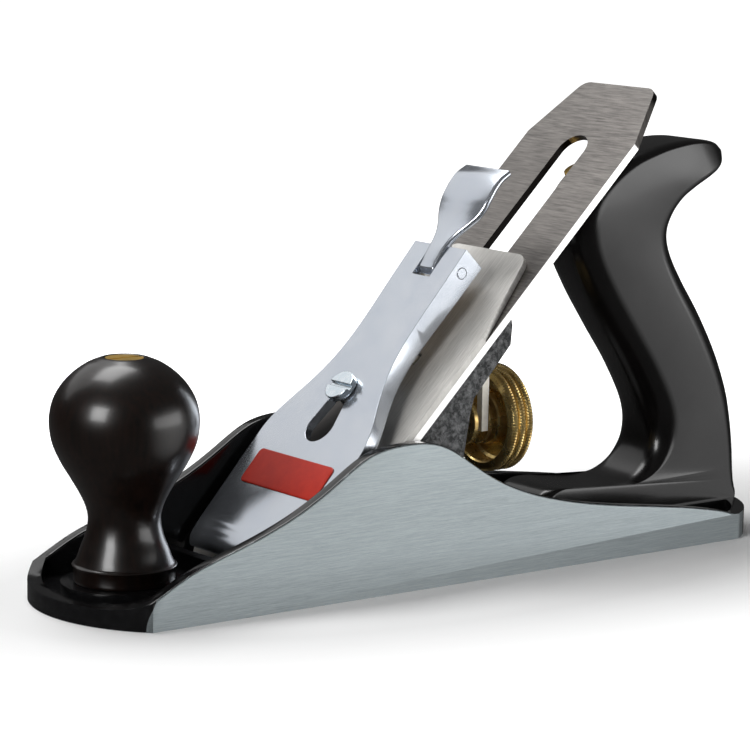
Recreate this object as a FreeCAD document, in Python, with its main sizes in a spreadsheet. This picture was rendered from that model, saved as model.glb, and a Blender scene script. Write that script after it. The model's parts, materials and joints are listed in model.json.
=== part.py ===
import FreeCAD, Part
import math
import os
import Sketcher
from FreeCAD import Placement, Rotation, Vector

# Bench smoothing plane, millimetres. +X runs from toe to heel, Y across, Z up, sole on Z = 0.
# Bed pieces are drawn in the bed frame: X up the bed, Y across, Z out of the cutter's front face.

DIMENSIONS = {
    "sole_length": 248.0, "sole_width": 64.0, "sole_thick": 4.0, "wall": 4.0,
    "toe_arc": 44.0, "heel_arc": 36.9, "toe_rim": 5.4, "heel_rim": 8.0, "hump": 43.3,
    "edge_x": -60.3, "bed_angle": 45.0, "edge_lift": 0.15, "seat_top": 9.5,
    "mouth_half": 27.4, "mouth_front": 2.0, "mouth_rear": 0.75,
    "knob_x": -99.4, "knob_base": 7.0, "knob_top": 71.0, "bolt_r": 3.0, "bolt_fit": 0.06,
    "tote_base": 8.0, "tote_half": 12.0, "tote_lean": 21.3, "tote_bolt_x": 109.0,
    "iron_half": 25.4, "iron_long": 198.0, "iron_thick": 2.2, "iron_taper": 22.0, "iron_top_half": 16.5,
    "slot_half": 6.0, "slot_low": 50.0, "slot_high": 171.0, "keyhole": 9.5,
    "cap_thick": 2.0, "cap_long": 129.0, "cap_top_half": 18.0,
    "frog_half": 24.0, "frog_top": 110.0, "frog_gap": 0.05, "plate": 6.25,
    "screw_u": 64.3, "screw_rad": 3.05, "carriage_u": 76.0, "yoke_u": 86.0,
    "roller_u": 98.0, "roller_rad": 5.8, "lateral_u": 103.0,
    "stud_z": 41.0, "stud_rad": 3.0, "groove_x": 23.0, "wheel_rad": 16.5, "wheel_x": 27.0, "wheel_wide": 9.0,
    "pivot_x": 9.85, "pivot_z": 54.3, "cam_u": 111.5, "cam_n": 12.8, "adjust_z": 10.5,
}

doc = FreeCAD.newDocument("hand_plane")
sheet = doc.addObject("Spreadsheet::Sheet", "Dims")
for row, (alias, number) in enumerate(DIMENSIONS.items(), start=1):
    sheet.set(f"A{row}", alias)
    sheet.set(f"B{row}", str(number))
    sheet.setAlias(f"B{row}", alias)
doc.recompute()

nodes = []


def expand(text):
    """Turns the short form $name into the sheet's cell."""
    return str(text).replace("$", "Dims.")


def value(text):
    return float(sheet.evalExpression(expand(text)))


def bind(target, name, text):
    target.setExpression(name, expand(text))


def add_body(name, bed=False):
    body = doc.addObject("PartDesign::Body", name)
    body.Label = name
    if bed:
        turn = Rotation(Vector(0, 1, 0), -value("$bed_angle"))
        body.Placement = Placement(Vector(value("$edge_x"), 0, 0), turn)
        bind(body, "Placement.Base.x", "$edge_x")
    nodes.append(body)
    return body


def add_sketch(body, role, offset="0"):
    plane = next(item for item in body.Origin.OriginFeatures if item.Role == role)
    sketch = body.newObject("Sketcher::SketchObject", "Sketch")
    sketch.AttachmentSupport = [(plane, "")]
    sketch.MapMode = "FlatFace"
    bind(sketch, "AttachmentOffset.Base.z", offset)
    return sketch


def pin_point(sketch, geometry, end, x, y):
    """Binds one end of a sketch line or arc to two expressions."""
    for kind, text in (("DistanceX", x), ("DistanceY", y)):
        index = sketch.addConstraint(Sketcher.Constraint(kind, -1, 1, geometry, end, value(text)))
        bind(sketch, f"Constraints[{index}]", text)


def polygon(sketch, corners):
    spots = [Vector(value(x), value(y), 0) for x, y in corners]
    count = len(spots)
    for i in range(count):
        sketch.addGeometry(Part.LineSegment(spots[i], spots[(i + 1) % count]))
    for i in range(count):
        sketch.addConstraint(Sketcher.Constraint("Coincident", i, 2, (i + 1) % count, 1))
    for i, (x, y) in enumerate(corners):
        pin_point(sketch, i, 1, x, y)


def rectangle(sketch, x0, y0, x1, y1):
    polygon(sketch, [(x0, y0), (x1, y0), (x1, y1), (x0, y1)])


def circle(sketch, x, y, radius):
    centre = Vector(value(x), value(y), 0)
    geometry = sketch.addGeometry(Part.Circle(centre, Vector(0, 0, 1), value(radius)))
    index = sketch.addConstraint(Sketcher.Constraint("Radius", geometry, value(radius)))
    bind(sketch, f"Constraints[{index}]", radius)
    pin_point(sketch, geometry, 3, x, y)


def outline(sketch, curve_points, corners):
    """A smooth curve through some points, closed by straight lines through the corners."""
    spots = [Vector(x, y, 0) for x, y in curve_points]
    curve = Part.BSplineCurve()
    curve.interpolate(spots)
    sketch.addGeometry(curve)
    chain = [spots[-1]] + [Vector(x, y, 0) for x, y in corners] + [spots[0]]
    for start, end in zip(chain, chain[1:]):
        sketch.addGeometry(Part.LineSegment(start, end))


def pad(body, sketch, length):
    feature = body.newObject("PartDesign::Pad", "Pad")
    feature.Profile = sketch
    bind(feature, "Length", length)
    body.Tip = feature
    return feature


def pocket(body, sketch, length):
    """Cuts against the sketch's normal, and stops if nothing was cut."""
    doc.recompute()
    before = body.Shape.Volume
    feature = body.newObject("PartDesign::Pocket", "Pocket")
    feature.Profile = sketch
    bind(feature, "Length", length)
    body.Tip = feature
    doc.recompute()
    if body.Shape.Volume > before - 0.01:
        raise RuntimeError(f"{body.Label}: a pocket cut nothing")
    return feature


def spin(body, sketch, axis="V_Axis"):
    feature = body.newObject("PartDesign::Revolution", "Revolution")
    feature.Profile = sketch
    feature.ReferenceAxis = (sketch, [axis])
    feature.Angle = 360
    body.Tip = feature
    return feature


def round_edges(body, radius, keep):
    """Fillets the edges whose middle passes the test keep(point, edge)."""
    doc.recompute()
    base = body.Tip
    picked = []
    for number, edge in enumerate(base.Shape.Edges, start=1):
        middle = edge.valueAt((edge.FirstParameter + edge.LastParameter) / 2)
        if keep(middle, edge):
            picked.append(f"Edge{number}")
    feature = body.newObject("PartDesign::Fillet", "Fillet")
    feature.Base = (base, picked)
    bind(feature, "Radius", radius)
    body.Tip = feature
    doc.recompute()
    if not picked or not feature.isValid():
        raise RuntimeError(f"{body.Label}: fillet failed on {len(picked)} edges")
    return feature


def disc(body, role, x, y, radius, start, end):
    """Pads a round bar from start to end along the plane's normal."""
    sketch = add_sketch(body, role, start)
    circle(sketch, x, y, radius)
    pad(body, sketch, f"({end}) - ({start})")


def bore(body, role, x, y, radius, start, end):
    """Cuts a round hole from start to end along the plane's normal."""
    sketch = add_sketch(body, role, end)
    circle(sketch, x, y, radius)
    pocket(body, sketch, f"({end}) - ({start})")


def block(body, role, x0, y0, x1, y1, start, end):
    sketch = add_sketch(body, role, start)
    rectangle(sketch, x0, y0, x1, y1)
    pad(body, sketch, f"({end}) - ({start})")


def trough(body, role, x0, y0, x1, y1, start, end):
    sketch = add_sketch(body, role, end)
    rectangle(sketch, x0, y0, x1, y1)
    pocket(body, sketch, f"({end}) - ({start})")


def plan_outline(sketch, inset):
    """The sole's outline: two straight sides and a round toe and heel, set in by the inset."""
    half = f"($sole_width / 2 - {inset})"
    toe = f"(-$sole_length / 2 + $toe_arc - sqrt(($toe_arc - {inset})^2 - {half}^2))"
    heel = f"($sole_length / 2 - $heel_arc + sqrt(($heel_arc - {inset})^2 - {half}^2))"
    toe_tip = f"-$sole_length / 2 + {inset}"
    heel_tip = f"$sole_length / 2 - {inset}"

    def spot(x, y):
        return Vector(value(x), value(y), 0)

    sketch.addGeometry(Part.LineSegment(spot(toe, f"-{half}"), spot(heel, f"-{half}")))
    sketch.addGeometry(Part.Arc(spot(heel, f"-{half}"), spot(heel_tip, "0"), spot(heel, half)))
    sketch.addGeometry(Part.LineSegment(spot(heel, half), spot(toe, half)))
    sketch.addGeometry(Part.Arc(spot(toe, half), spot(toe_tip, "0"), spot(toe, f"-{half}")))
    pin_point(sketch, 0, 1, toe, f"-{half}")
    pin_point(sketch, 0, 2, heel, f"-{half}")
    pin_point(sketch, 2, 1, heel, half)
    pin_point(sketch, 2, 2, toe, half)


# Cheek height along the casting: a long rise from the toe, the hump, and a long fall to the heel.
CHEEK_CURVE = [(-119.0, 5.45), (-114.6, 6.3), (-109.6, 8.6), (-104.0, 11.6), (-97.3, 14.8),
               (-83.5, 19.4), (-62.3, 27.2), (-47.9, 35.2), (-36.5, 41.5), (-25.0, 43.28),
               (-12.5, 42.0), (-1.2, 35.8), (9.5, 29.2), (28.0, 22.1), (56.4, 16.4), (99.0, 9.6)]


def make_plane_body():
    body = add_body("plane_body")
    base = add_sketch(body, "XY_Plane")
    plan_outline(base, "0")
    pad(body, base, "$hump")
    sides = add_sketch(body, "XZ_Plane", "$sole_width")
    far = 140
    high = 60
    outline(sides, CHEEK_CURVE, [(104.5, value("$heel_rim")), (far, value("$heel_rim")), (far, high),
                                 (-far, high), (-far, value("$toe_rim")), (-119.2, value("$toe_rim"))])
    pocket(body, sides, "$sole_width * 2")
    inside = add_sketch(body, "XY_Plane", "$hump")
    plan_outline(inside, "$wall")
    pocket(body, inside, "$hump - $sole_thick")
    disc(body, "XY_Plane", "$knob_x", "0", "18", "$sole_thick - 1", "$knob_base")
    block(body, "XY_Plane", "41", "-13.5", "121", "13.5", "$sole_thick - 1", "$tote_base")
    block(body, "XY_Plane", "-58", "-23.5", "-4", "23.5", "$sole_thick - 1", "$seat_top")
    block(body, "XY_Plane", "-71.5", "-28.5", "-68", "28.5", "$sole_thick - 1", "9")
    block(body, "XY_Plane", "3", "-6", "8.2", "6", "$sole_thick - 1", "15.5")
    mouth = add_sketch(body, "XZ_Plane", "$mouth_half")
    rear = "$edge_x + ($iron_thick + $mouth_rear) * sqrt(2)"
    polygon(mouth, [("$edge_x - $mouth_front", "-1"), (f"{rear} - 1", "-1"), (f"{rear} + 11", "11"),
                    ("$edge_x - $mouth_front", "11")])
    pocket(body, mouth, "$mouth_half * 2")
    bore(body, "XY_Plane", "$knob_x", "0", "$bolt_r + $bolt_fit", "1.4", "9")
    for side in ("-13", "13"):
        bore(body, "XY_Plane", "-30", side, "2.56", "1.4", "12")
    bore(body, "YZ_Plane", "0", "$adjust_z", "2.56", "2", "9")
    leaning_bore(body, "$bolt_r + $bolt_fit", 0.0, 12.0)
    top = value("$sole_thick") + 2
    round_edges(body, "0.7", lambda at, edge: at.z > top and abs(at.y) > 27.5 and edge.Length > 100)
    return body


def lean_frame():
    """The handle bolt's own axis, leaning forward from its foot in the casting."""
    turn = Rotation(Vector(0, 1, 0), -value("$tote_lean"))
    return Placement(Vector(value("$tote_bolt_x"), 0, 2.2), turn)


def leaning_bore(body, radius, start, end):
    """Cuts a hole on the handle bolt's axis."""
    frame = lean_frame()
    plane = next(item for item in body.Origin.OriginFeatures if item.Role == "XY_Plane")
    sketch = body.newObject("Sketcher::SketchObject", "Sketch")
    sketch.AttachmentSupport = [(plane, "")]
    sketch.MapMode = "FlatFace"
    sketch.AttachmentOffset = Placement(frame.multVec(Vector(0, 0, end)), frame.Rotation)
    circle(sketch, "0", "0", radius)
    pocket(body, sketch, str(end - start))


# Knob silhouette above its flange, as radius and height.
KNOB_CURVE = [(14.4, 12.0), (12.1, 18.0), (10.3, 24.8), (12.4, 31.6), (15.4, 37.0), (18.2, 42.0), (20.4, 47.0),
              (21.1, 53.0), (19.2, 59.8), (15.4, 65.0), (10.2, 69.3), (6.0, 71.0)]


def make_knob():
    knob = add_body("front_knob")
    bind(knob, "Placement.Base.x", "$knob_x")
    sketch = add_sketch(knob, "XZ_Plane")
    outline(sketch, KNOB_CURVE, [(0, 71.0), (0, value("$knob_base")), (13.8, value("$knob_base")),
                                 (14.9, 8.2), (14.9, 11.2)])
    spin(knob, sketch)
    bore(knob, "XY_Plane", "0", "0", "$bolt_r + $bolt_fit", "5", "61")
    bore(knob, "XY_Plane", "0", "0", "4.3", "60", "67")
    bore(knob, "XY_Plane", "0", "0", "5.6", "66.4", "73")
    bolt = add_body("knob_bolt")
    bind(bolt, "Placement.Base.x", "$knob_x")
    disc(bolt, "XY_Plane", "0", "0", "$bolt_r", "1.6", "66")
    nut = add_body("knob_nut")
    bind(nut, "Placement.Base.x", "$knob_x")
    disc(nut, "XY_Plane", "0", "0", "4.2", "60.2", "67")
    disc(nut, "XY_Plane", "0", "0", "5.4", "66.5", "70.6")
    bore(nut, "XY_Plane", "0", "0", "$bolt_r + $bolt_fit", "59", "66.2")
    trough(nut, "XY_Plane", "-6", "-0.7", "6", "0.7", "69.2", "72")


# Handle outline from the foot's toe round the grip's front, over the horn and down its back.
TOTE_CURVE = [(41.5, 11.0), (41.8, 16.0), (45.5, 18.9), (53.0, 18.4), (63.0, 17.2), (72.0, 16.6),
              (79.0, 17.4), (84.6, 20.2), (88.6, 24.8), (90.2, 30.6), (89.6, 36.4), (86.6, 43.5),
              (82.2, 50.4), (74.6, 61.0), (67.4, 71.6), (61.2, 81.6), (57.2, 91.0), (56.4, 99.0),
              (59.4, 106.4), (66.0, 112.6), (73.6, 117.2), (82.5, 120.4), (93.0, 122.4), (104.2, 123.0),
              (113.5, 121.5), (117.6, 118.2), (114.6, 113.2), (107.2, 109.4), (100.2, 105.4), (95.4, 99.6),
              (94.2, 93.2), (96.4, 86.6), (102.4, 78.4), (109.4, 68.6), (116.2, 57.0), (120.8, 46.0),
              (123.0, 35.0), (123.8, 24.0), (123.8, 11.0)]


def make_tote():
    tote = add_body("rear_handle")
    base = value("$tote_base")
    sketch = add_sketch(tote, "XZ_Plane", "-$tote_half")
    outline(sketch, TOTE_CURVE, [(123.8, base), (41.5, base)])
    pad(tote, sketch, "$tote_half * 2")
    leaning_bore(tote, "$bolt_r + $bolt_fit", 0.0, 116.0)
    leaning_bore(tote, "4.3", 108.0, 130.0)
    leaning_bore(tote, "5.7", 117.6, 135.0)
    bolt = add_body("handle_bolt")
    bolt.Placement = lean_frame()
    disc(bolt, "XY_Plane", "0", "0", "$bolt_r", "0.2", "115.6")
    nut = add_body("handle_nut")
    nut.Placement = lean_frame()
    disc(nut, "XY_Plane", "0", "0", "4.2", "108.4", "118.2")
    disc(nut, "XY_Plane", "0", "0", "5.4", "117.8", "121.4")
    bore(nut, "XY_Plane", "0", "0", "$bolt_r + $bolt_fit", "107", "115.8")
    trough(nut, "XY_Plane", "-6", "-0.7", "6", "0.7", "120", "124")


def bed_point(along, out):
    """World X and Z expressions for a point given up the bed and out of the cutter's face."""
    return (f"$edge_x + (({along}) - ({out})) / sqrt(2)", f"(({along}) + ({out})) / sqrt(2)")


def make_frog():
    frog = add_body("frog")
    floor = "$seat_top + $frog_gap"
    face = "(-$iron_thick - $frog_gap)"
    back = f"({face} - $plate)"
    foot = (f"$edge_x + {floor} - {face} * sqrt(2)", floor)
    side = add_sketch(frog, "XZ_Plane", "-$frog_half")
    polygon(side, [foot, bed_point("$frog_top", face), bed_point("$frog_top - 1.5", f"{face} - 2.5"),
                   bed_point("$frog_top - 6", back), bed_point("84", "-9.5"),
                   ("4.5", "48"), ("2.5", "36"), ("-1.5", floor)])
    pad(frog, side, "$frog_half * 2")
    hollow = add_sketch(frog, "XZ_Plane", "16")
    polygon(hollow, [(f"$edge_x + 16 - {back} * sqrt(2)", "16"), bed_point("$frog_top + 5", back),
                     ("60", "75"), ("60", "16")])
    pocket(frog, hollow, "32")
    for low, high in (("-9.5", "-6"), ("6", "9.5")):
        ear = add_sketch(frog, "XZ_Plane", low)
        polygon(ear, [bed_point("80", f"{back} + 1"), bed_point("96", f"{back} + 1"), bed_point("92", "-14.4"),
                      bed_point("84", "-14.4")])
        pad(frog, ear, f"({high}) - ({low})")
    disc(frog, "YZ_Plane", "0", "$stud_z", "6.5", "-14", "2")
    front = add_sketch(frog, "XZ_Plane", "30")
    polygon(front, [bed_point("0", face), bed_point("130", face), ("-40", "110"), ("-100", "40")])
    pocket(frog, front, "60")
    bore(frog, "YZ_Plane", "0", "$stud_z", "$stud_rad + $bolt_fit", "-3.2", "6")
    bore(frog, "XZ_Plane", "$pivot_x", "$pivot_z", "1.27", "-12", "12")
    for mid in (-13, 13):
        trough(frog, "XY_Plane", "-35.4", str(mid - 4.7), "-24.2", str(mid + 4.7), "15", "60")
        trough(frog, "XY_Plane", "-33.6", str(mid - 2.8), "-26.2", str(mid + 2.8), "5", "16")
    bore(frog, "XY_Plane", "-5", "0", "2.06", "9.7", "17")
    cut_bed_features(frog, face)
    return frog


def cut_bed_features(frog, face):
    """Channels in the frog's face for the screws, the yoke and the lateral lever, square to the bed."""
    turn = Rotation(Vector(0, 1, 0), -value("$bed_angle"))
    plane = next(item for item in frog.Origin.OriginFeatures if item.Role == "XY_Plane")

    def face_sketch(depth_top):
        sketch = frog.newObject("Sketcher::SketchObject", "Sketch")
        sketch.AttachmentSupport = [(plane, "")]
        sketch.MapMode = "FlatFace"
        start = turn.multVec(Vector(0, 0, depth_top)) + Vector(value("$edge_x"), 0, 0)
        sketch.AttachmentOffset = Placement(start, turn)
        return sketch

    def face_trough(x0, half, x1, deep):
        sketch = face_sketch(0.0)
        rectangle(sketch, x0, f"-({half})", x1, half)
        pocket(frog, sketch, deep)

    face_trough("$carriage_u - 10", "8", "$yoke_u + 6", "6.3")
    face_trough("$yoke_u - 3.6", "5.3", "$yoke_u + 3.6", "12")
    face_trough("$roller_u - 8", "13", "$frog_top + 3", "4.35")
    sketch = face_sketch(0.0)
    circle(sketch, "$screw_u", "0", "$screw_rad + $bolt_fit")
    pocket(frog, sketch, "8.2")
    sketch = face_sketch(0.0)
    circle(sketch, "$lateral_u", "0", "2.26")
    pocket(frog, sketch, "8")


def make_frog_hardware():
    for number, mid in enumerate(("-13", "13"), start=1):
        screw = add_body(f"frog_screw_{number}")
        disc(screw, "XY_Plane", "-30", mid, "2.5", "1.6", "16.5")
        disc(screw, "XY_Plane", "-30", mid, "3.9", "16.1", "19.6")
        trough(screw, "XY_Plane", "-35", f"{mid} - 0.6", "-25", f"{mid} + 0.6", "18.2", "21")
        washer = add_body(f"frog_washer_{number}")
        disc(washer, "XY_Plane", "-30", mid, "4.2", "15.05", "16.05")
        bore(washer, "XY_Plane", "-30", mid, "2.56", "14", "17")
    turn_screw = add_body("frog_adjusting_screw")
    disc(turn_screw, "YZ_Plane", "0", "$adjust_z", "2.5", "0.2", "9.9")
    disc(turn_screw, "YZ_Plane", "0", "$adjust_z", "2", "9.8", "11.5")
    disc(turn_screw, "YZ_Plane", "0", "$adjust_z", "4.4", "11.35", "15")
    trough(turn_screw, "YZ_Plane", "-6", "$adjust_z - 0.6", "6", "$adjust_z + 0.6", "13.6", "16")
    clip = add_body("frog_clip")
    side = add_sketch(clip, "XZ_Plane", "-5.5")
    polygon(side, [("-9", "16.05"), ("10", "16.05"), ("10", "7.2"),
                   ("11.2", "7.2"), ("11.2", "17.25"), ("-9", "17.25")])
    pad(clip, side, "11")
    trough(clip, "YZ_Plane", "-2.06", "6", "2.06", "$adjust_z + 2.1", "9", "12")
    bore(clip, "XY_Plane", "-5", "0", "2.06", "15", "18")
    clip_screw = add_body("frog_clip_screw")
    disc(clip_screw, "XY_Plane", "-5", "0", "2", "10", "17.5")
    disc(clip_screw, "XY_Plane", "-5", "0", "3.4", "17.3", "19.2")
    trough(clip_screw, "XY_Plane", "-9", "-0.5", "-1", "0.5", "18.4", "20")


def make_depth_drive():
    stud = add_body("depth_stud")
    disc(stud, "YZ_Plane", "0", "$stud_z", "$stud_rad", "-3", "38")
    collar = add_body("depth_collar")
    disc(collar, "YZ_Plane", "0", "$stud_z", "7.5", "$groove_x - 3.6", "$groove_x - 2")
    disc(collar, "YZ_Plane", "0", "$stud_z", "5", "$groove_x - 2.4", "$wheel_x + $wheel_wide - 0.6")
    disc(collar, "YZ_Plane", "0", "$stud_z", "7.5", "$groove_x + 2", "$groove_x + 3.4")
    bore(collar, "YZ_Plane", "0", "$stud_z", "$stud_rad + $bolt_fit", "10", "40")
    wheel = add_body("depth_wheel")
    disc(wheel, "YZ_Plane", "0", "$stud_z", "$wheel_rad", "$wheel_x", "$wheel_x + $wheel_wide")
    cup = add_sketch(wheel, "YZ_Plane", "$wheel_x + $wheel_wide - 3.4")
    circle(cup, "0", "$stud_z", "$wheel_rad - 3")
    circle(cup, "0", "$stud_z", "8")
    pocket(wheel, cup, "$wheel_wide")
    for place in ("2.4", "5.4"):
        ring = add_sketch(wheel, "YZ_Plane", f"$wheel_x + {place} + 1")
        circle(ring, "0", "$stud_z", "$wheel_rad + 2")
        circle(ring, "0", "$stud_z", "$wheel_rad - 0.9")
        pocket(wheel, ring, "1")
    bore(wheel, "YZ_Plane", "0", "$stud_z", "5.06", "10", "40")
    yoke = add_body("depth_yoke")
    rear = add_sketch(yoke, "XZ_Plane", "-7.8")
    polygon(rear, [("$pivot_x", "56.7"), ("15", "59"), ("22", "59"),
                   ("24.4", "55"), ("24.2", "38.6"), ("21.8", "38.6"),
                   ("21.8", "52.8"), ("19.5", "55.5"), ("15.5", "55.2"), ("$pivot_x + 0.65", "51.9")])
    pad(yoke, rear, "15.6")
    trough(yoke, "YZ_Plane", "-5.3", "30", "5.3", "51.6", "18", "26")
    for low, high in (("-9", "-5.4"), ("5.4", "9")):
        trough(yoke, "XZ_Plane", "5", "45", "18", "62", low, high)
    disc(yoke, "XZ_Plane", "$pivot_x", "$pivot_z", "2.5", "-5.4", "5.4")
    arm = add_sketch(yoke, "XZ_Plane", "-4.6")
    polygon(arm, [bed_point("$yoke_u - 1.5", "-11"), bed_point("$yoke_u - 1.5", "1.8"),
                  bed_point("$yoke_u + 1.5", "1.8"), bed_point("$yoke_u + 1.5", "-11")])
    pad(yoke, arm, "9.2")
    bore(yoke, "XZ_Plane", "$pivot_x", "$pivot_z", "1.3", "-12", "12")
    pin = add_body("yoke_pin")
    disc(pin, "XZ_Plane", "$pivot_x", "$pivot_z", "1.25", "-9.9", "9.9")


def make_lateral_drive():
    lever = add_body("lateral_lever", bed=True)
    disc(lever, "XY_Plane", "$lateral_u", "0", "7.5", "-4.2", "-2.7")
    strip = add_sketch(lever, "XY_Plane", "-4.2")
    polygon(strip, [("$roller_u - 3.5", "-5"), ("$lateral_u", "-7"),
                    ("$lateral_u + 14", "-4.5"), ("132", "-4.5"),
                    ("132", "4.5"), ("$lateral_u + 14", "4.5"),
                    ("$lateral_u", "7"), ("$roller_u - 3.5", "5")])
    pad(lever, strip, "1.5")
    block(lever, "XY_Plane", "130.5", "-7", "132", "7", "-12", "-2.7")
    bore(lever, "XY_Plane", "$lateral_u", "0", "2.26", "-5", "-2")
    bore(lever, "XY_Plane", "$roller_u", "0", "1.66", "-5", "-2")
    pivot = add_body("lateral_lever_pivot", bed=True)
    disc(pivot, "XY_Plane", "$lateral_u", "0", "2.2", "-7.8", "-2.75")
    roller = add_body("lateral_roller", bed=True)
    disc(roller, "XY_Plane", "$roller_u", "0", "$roller_rad", "-2.6", "-0.2")
    bore(roller, "XY_Plane", "$roller_u", "0", "1.66", "-4", "1")
    rivet = add_body("roller_rivet", bed=True)
    disc(rivet, "XY_Plane", "$roller_u", "0", "1.6", "-4.2", "-0.25")


def make_cutter():
    iron = add_body("cutter_iron", bed=True)
    plan = add_sketch(iron, "XY_Plane", "-$iron_thick")
    polygon(plan, [("$edge_lift", "-$iron_half"), ("$iron_long - $iron_taper", "-$iron_half"),
                   ("$iron_long", "-$iron_top_half"), ("$iron_long", "$iron_top_half"),
                   ("$iron_long - $iron_taper", "$iron_half"), ("$edge_lift", "$iron_half")])
    pad(iron, plan, "$iron_thick")
    bevel = add_sketch(iron, "XZ_Plane", "$iron_half + 1")
    polygon(bevel, [("$edge_lift - 1", "0.4"), ("$edge_lift + 4.8", "-$iron_thick - 0.05"),
                    ("$edge_lift - 1", "-$iron_thick - 0.05")])
    pocket(iron, bevel, "$iron_half * 2 + 2")
    trough(iron, "XY_Plane", "$slot_low", "-$slot_half", "$slot_high", "$slot_half", "-4", "1")
    bore(iron, "XY_Plane", "$slot_high", "0", "$slot_half", "-4", "1")
    bore(iron, "XY_Plane", "$slot_low", "0", "$keyhole", "-4", "1")
    long = value("$iron_long")
    round_edges(iron, "4.5", lambda at, edge: at.x > long - 1 and abs(at.y) > 14 and edge.Length < 3)
    cap = add_body("cap_iron", bed=True)
    side = add_sketch(cap, "XZ_Plane", "-$iron_half")
    outline(side, [(1.4, 0.5), (4.0, 3.4), (8.0, 5.0), (13.0, 4.8), (19.0, 2.9), (26.0, value("$cap_thick"))],
            [(value("$cap_long"), value("$cap_thick")), (value("$cap_long"), 0.02), (1.4, 0.02)])
    pad(cap, side, "$iron_half * 2")
    for sign in ("", "-"):
        taper = add_sketch(cap, "XY_Plane", "6")
        polygon(taper, [("98", f"{sign}($iron_half - 0.3)"), ("$cap_long + 1", f"{sign}$cap_top_half"),
                        ("$cap_long + 1", f"{sign}30"), ("98", f"{sign}30")])
        pocket(cap, taper, "8")
    far = value("$cap_long")
    round_edges(cap, "5", lambda at, edge: at.x > far - 1 and abs(at.y) > 15 and edge.Length < 3)
    trough(cap, "XY_Plane", "$screw_u - 5", "-4.2", "$screw_u + 5", "4.2", "-1", "4")
    bore(cap, "XY_Plane", "$carriage_u", "0", "3.06", "-1", "4")
    trough(cap, "XY_Plane", "$yoke_u - 2", "-5.6", "$yoke_u + 2", "5.6", "-1", "4")
    screw = add_body("cap_iron_screw", bed=True)
    disc(screw, "XY_Plane", "$carriage_u", "0", "7", "-5.7", "-2.3")
    disc(screw, "XY_Plane", "$carriage_u", "0", "3", "-2.6", "2")
    trough(screw, "XY_Plane", "$carriage_u - 8", "-0.8", "$carriage_u + 8", "0.8", "-6.5", "-4.7")


# Lever cap: half-width up the bed, and its face height out of the cutter's face.
CAP_FACE = [(5.0, 6.2), (6.8, 8.1), (10.5, 9.0), (17.0, 9.5), (30.0, 10.3), (45.0, 11.2)]
CAP_SIDE = [(44.0, 25.0), (52.0, 23.6), (60.0, 19.8), (69.0, 15.6), (78.0, 13.2), (90.0, 12.3), (104.0, 12.5)]


def make_lever_cap():
    cap = add_body("lever_cap", bed=True)
    side = add_sketch(cap, "XZ_Plane", "-25")
    outline(side, CAP_FACE, [(117.6, 16.7), (117.6, 8.2), (50, 7.2), (5, 5.4)])
    pad(cap, side, "50")
    for sign in (1, -1):
        waist = add_sketch(cap, "XY_Plane", "30")
        outline(waist, [(x, sign * y) for x, y in CAP_SIDE],
                [(120, sign * 12.5), (120, sign * 30), (44, sign * 30)])
        pocket(cap, waist, "30")
    under = add_sketch(cap, "XZ_Plane", "9.4")
    polygon(under, [("30", "4"), ("30", "7.4"), ("60", "9.4"), ("112", "13.4"), ("120", "13.8"), ("120", "4")])
    pocket(cap, under, "18.8")
    bore(cap, "XY_Plane", "$screw_u", "0", "3.5", "5", "20")
    bore(cap, "XY_Plane", "$screw_u - 12.8", "0", "5.6", "4", "20")
    keyhole = add_sketch(cap, "XY_Plane", "20")
    polygon(keyhole, [("$screw_u - 11.4", "-5.4"), ("$screw_u - 4", "-3.9"), ("$screw_u", "-3.5"),
                      ("$screw_u", "3.5"), ("$screw_u - 4", "3.9"), ("$screw_u - 11.4", "5.4")])
    pocket(cap, keyhole, "15")
    trough(cap, "XY_Plane", "106.5", "-4.1", "120", "4.1", "11", "20")
    bore(cap, "XZ_Plane", "$cam_u", "$cam_n", "1.72", "-20", "20")
    bore(cap, "XY_Plane", "85", "0", "1.56", "9", "13")
    badge = add_body("lever_cap_badge", bed=True)
    strip = add_sketch(badge, "XZ_Plane", "-18.6")
    polygon(strip, [("28", "10.24"), ("40", "11"), ("40", "11.34"), ("28", "10.58")])
    pad(badge, strip, "37.2")
    screw = add_body("lever_cap_screw", bed=True)
    disc(screw, "XY_Plane", "$screw_u", "0", "$screw_rad", "-8", "13.4")
    disc(screw, "XY_Plane", "$screw_u", "0", "5", "13.2", "15.4")
    trough(screw, "XY_Plane", "$screw_u - 0.7", "-8", "$screw_u + 0.7", "8", "14.3", "17")
    cam_pin = add_body("cam_lever_pin", bed=True)
    disc(cam_pin, "XZ_Plane", "$cam_u", "$cam_n", "1.65", "-12.6", "12.6")
    spring = add_body("lever_cap_spring", bed=True)
    leaf = add_sketch(spring, "XZ_Plane", "-6.5")
    polygon(leaf, [("80", "9.7"), ("89", "9.7"), ("101", "6.6"), ("117", "6.6"),
                   ("117", "7.3"), ("101.2", "7.3"), ("89.2", "10.4"), ("80", "10.4")])
    pad(spring, leaf, "13")
    bore(spring, "XY_Plane", "85", "0", "1.56", "8", "12")
    rivet = add_body("spring_rivet", bed=True)
    disc(rivet, "XY_Plane", "85", "0", "2.6", "8.9", "9.65")
    disc(rivet, "XY_Plane", "85", "0", "1.5", "9.5", "12.6")


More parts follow.
